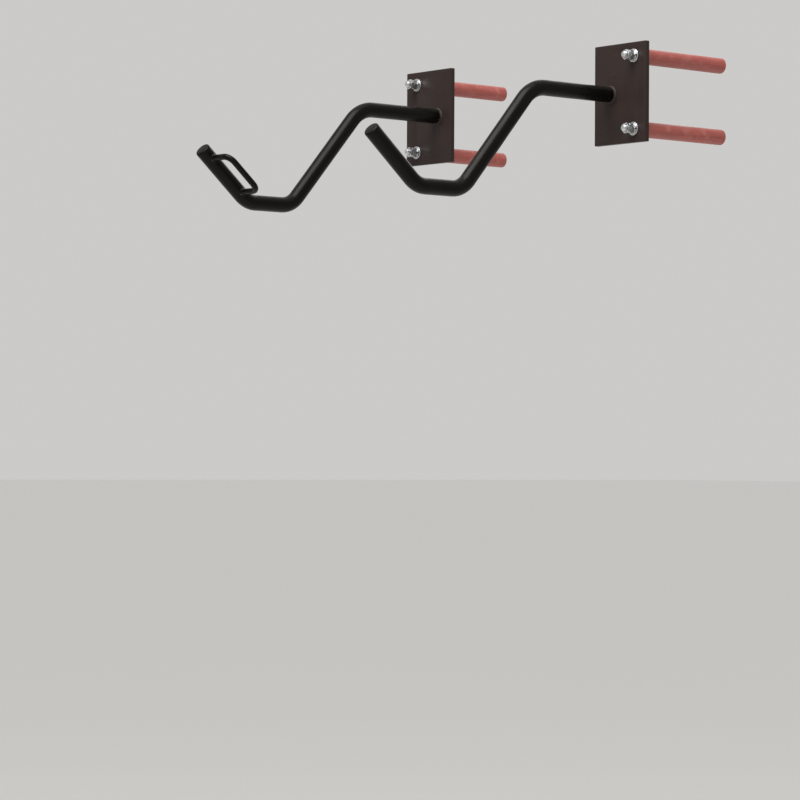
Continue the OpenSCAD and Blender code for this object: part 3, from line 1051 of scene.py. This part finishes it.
class RACK_OT_studs(bpy.types.Operator):
    """Makes the threaded studs"""

    bl_idname = "rack.studs"
    bl_label = "Studs"

    def execute(self, context):
        round_pieces(context, ("anchor_stud", "threaded_stud", stud_mesh))
        return {"FINISHED"}


class RACK_OT_washers(bpy.types.Operator):
    """Makes the flat washers and the split spring washers"""

    bl_idname = "rack.washers"
    bl_label = "Washers"

    def execute(self, context):
        flat = ("flat_washer", "stamped_washer", flat_washer_mesh)
        spring = ("spring_washer", "split_washer", spring_washer_mesh)
        round_pieces(context, flat, spring)
        return {"FINISHED"}


class RACK_OT_nuts(bpy.types.Operator):
    """Makes the main nuts and the jam nuts"""

    bl_idname = "rack.nuts"
    bl_label = "Nuts"

    def execute(self, context):
        sizes = context.scene.rack_anchor
        across_flats = size_of("hex_nut_upper_left").z
        main, jam = ("hex_nut", "main_nut", 0.0), ("jam_nut", "lock_nut", sizes.jam_turn)
        for anchor in ANCHORS:
            for kind, name, turn in (main, jam):
                node = f"{kind}_{anchor}"
                bm = nut_mesh(sizes, across_flats, *heights_of(node))
                place_piece(f"{name}_{anchor}", bm, node, turn=turn, crease=25.0)
        return {"FINISHED"}


class RACK_OT_sleeves(bpy.types.Operator):
    """Makes the red nylon sleeves and the cone nuts that spread them"""

    bl_idname = "rack.sleeves"
    bl_label = "Wall Sleeves"

    def execute(self, context):
        sizes = context.scene.rack_anchor
        nylon = nylon_finish(context.scene.rack_colours)
        for anchor in ANCHORS:
            node = f"wall_sleeve_{anchor}"
            radius = size_of(node).x / 2
            low, high = heights_of(node)
            bm = sleeve_mesh(sizes, radius, low, high)
            name = f"nylon_sleeve_{anchor}"
            sleeve = place_piece(name, bm, node, nylon, "red_nylon", crease=20.0)
            slab = slab_mesh(sizes, radius, low)
            move(slab, out_of_wall(node))
            boolean(sleeve, object_from("slab", slab), "DIFFERENCE")
            cone = f"cone_nut_{anchor}"
            bm = cone_mesh(sizes, size_of(cone).x / 2, *heights_of(cone))
            place_piece(f"spreader_cone_{anchor}", bm, cone)
        return {"FINISHED"}


class RACK_OT_finishes(bpy.types.Operator):
    """Makes the shared effects and the finishes of pieces that keep their CAD shape"""

    bl_idname = "rack.finishes"
    bl_label = "Shared Finishes"

    def execute(self, context):
        colours = context.scene.rack_colours
        for make in (make_mottle, make_edge_wear, make_dust, make_scratches, make_pebble):
            make()
        zinc_finish(colours)
        steel = steel_finish(colours)
        kept = ["lock_eye", "lock_eye_welds"]
        kept += [f"{part}_{side}" for part in ("arm_tube", "tip_plug") for side in SIDES]
        for node in kept:
            for material_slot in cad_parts[node].material_slots:
                material_slot.material = steel
        return {"FINISHED"}


# ---- Stage ----


LIT_POINT = Vector((0, -0.2, 0))
NEAR_CLIP, FAR_CLIP = 0.1, 400
FLOOR_HALF = 150


def line_of_sight(stage):
    """The directions in which the camera looks, and its right and up, with its roll."""
    turn, tilt, roll = stage.azimuth, -stage.elevation, stage.roll
    flat = math.cos(tilt)
    ahead = Vector((-math.sin(turn) * flat, math.cos(turn) * flat, math.sin(tilt)))
    level = Vector((math.cos(turn), math.sin(turn), 0))
    upright = level.cross(ahead)
    right = math.cos(roll) * level + math.sin(roll) * upright
    return ahead, right, right.cross(ahead)


def add_light(name, place, size, watts):
    """A soft square light that faces the rack."""
    data = bpy.data.lights.new(name, "AREA")
    data.shape = "SQUARE"
    data.size = size
    data.energy = watts
    lamp = bpy.data.objects.new(name, data)
    lamp.location = place
    lamp.rotation_euler = (LIT_POINT - lamp.location).to_track_quat("-Z", "Y").to_euler()
    bpy.context.scene.collection.objects.link(lamp)


class RACK_OT_stage(bpy.types.Operator):
    """Sets up the camera, the soft lights and the pale floor"""

    bl_idname = "rack.stage"
    bl_label = "Stage"

    def execute(self, context):
        scene, stage = context.scene, context.scene.rack_stage
        colours = scene.rack_colours
        ahead, right, up = line_of_sight(stage)
        data = bpy.data.cameras.new("camera")
        data.lens, data.sensor_width = stage.lens, stage.sensor
        data.clip_start, data.clip_end = NEAR_CLIP, FAR_CLIP
        camera = bpy.data.objects.new("camera", data)
        axes = Matrix((right, up, -ahead)).transposed().to_4x4()
        eye = Vector(stage.target) - ahead * stage.distance
        camera.matrix_world = Matrix.Translation(eye) @ axes
        scene.collection.objects.link(camera)
        scene.camera = camera

        add_light("overhead", (0.5, -1.3, 2.2), 2.2, stage.key_power)
        add_light("front", (2.6, -2.2, 0.5), 2.0, stage.fill_power)
        add_light("behind", (-1.2, 2.4, 1.2), 2.0, stage.back_power)

        world = bpy.data.worlds.new("studio")
        world.use_nodes = True
        background = world.node_tree.nodes["Background"]
        background.inputs["Color"].default_value = (1, 0.99, 0.97, 1)
        background.inputs["Strength"].default_value = stage.sky
        scene.world = world
        scene.view_settings.view_transform = "Standard"

        bm = bmesh.new()
        bmesh.ops.create_grid(bm, x_segments=1, y_segments=1, size=FLOOR_HALF)
        bmesh.ops.translate(bm, verts=bm.verts, vec=(0, 0, -stage.floor_drop))
        floor = object_from("floor", bm)
        material, graph = new_finish("Pale Floor")
        tone = graph.group("Mottle", scale=0.8, contrast=1.0)
        base = graph.mix(tone, *shades(colours.floor, 0.985, 1.0))
        graph.feed(graph.shader.inputs["Roughness"], 0.9)
        graph.feed(graph.shader.inputs["Base Color"], base)
        floor.data.materials.append(material)
        return {"FINISHED"}


class RACK_PT_sidebar(bpy.types.Panel):
    """Buttons for each group of the rack's pieces, and their sizes"""

    bl_idname = "RACK_PT_sidebar"
    bl_label = "Wall Rack"
    bl_space_type = "VIEW_3D"
    bl_region_type = "UI"
    bl_category = "Wall Rack"

    def draw(self, context):
        layout = self.layout
        for operator in OPERATORS:
            layout.operator(operator.bl_idname)
        for name in SETTINGS:
            group = getattr(context.scene, name)
            box = layout.box()
            box.label(text=type(group).__doc__)
            for key in type(group).__annotations__:
                box.prop(group, key)


SETTINGS = {
    "rack_arm": RackArmSizes,
    "rack_eye": RackEyeSizes,
    "rack_plate": RackPlateSizes,
    "rack_anchor": RackAnchorSizes,
    "rack_colours": RackColours,
    "rack_stage": RackStageSettings,
}
OPERATORS = (
    RACK_OT_finishes,
    RACK_OT_stage,
    RACK_OT_wall_plates,
    RACK_OT_weld_beads,
    RACK_OT_arm_coats,
    RACK_OT_studs,
    RACK_OT_washers,
    RACK_OT_nuts,
    RACK_OT_sleeves,
)


def register():
    for group in SETTINGS.values():
        bpy.utils.register_class(group)
    for name, group in SETTINGS.items():
        setattr(bpy.types.Scene, name, PointerProperty(type=group))
    for kind in (*OPERATORS, RACK_PT_sidebar):
        bpy.utils.register_class(kind)


def unregister():
    for kind in (RACK_PT_sidebar, *reversed(OPERATORS)):
        bpy.utils.unregister_class(kind)
    for name in SETTINGS:
        delattr(bpy.types.Scene, name)
    for group in reversed(SETTINGS.values()):
        bpy.utils.unregister_class(group)


def main():
    register()
    for operator in OPERATORS:
        group, name = operator.bl_idname.split(".")
        getattr(getattr(bpy.ops, group), name)()
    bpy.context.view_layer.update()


if __name__ == "__main__":
    main()
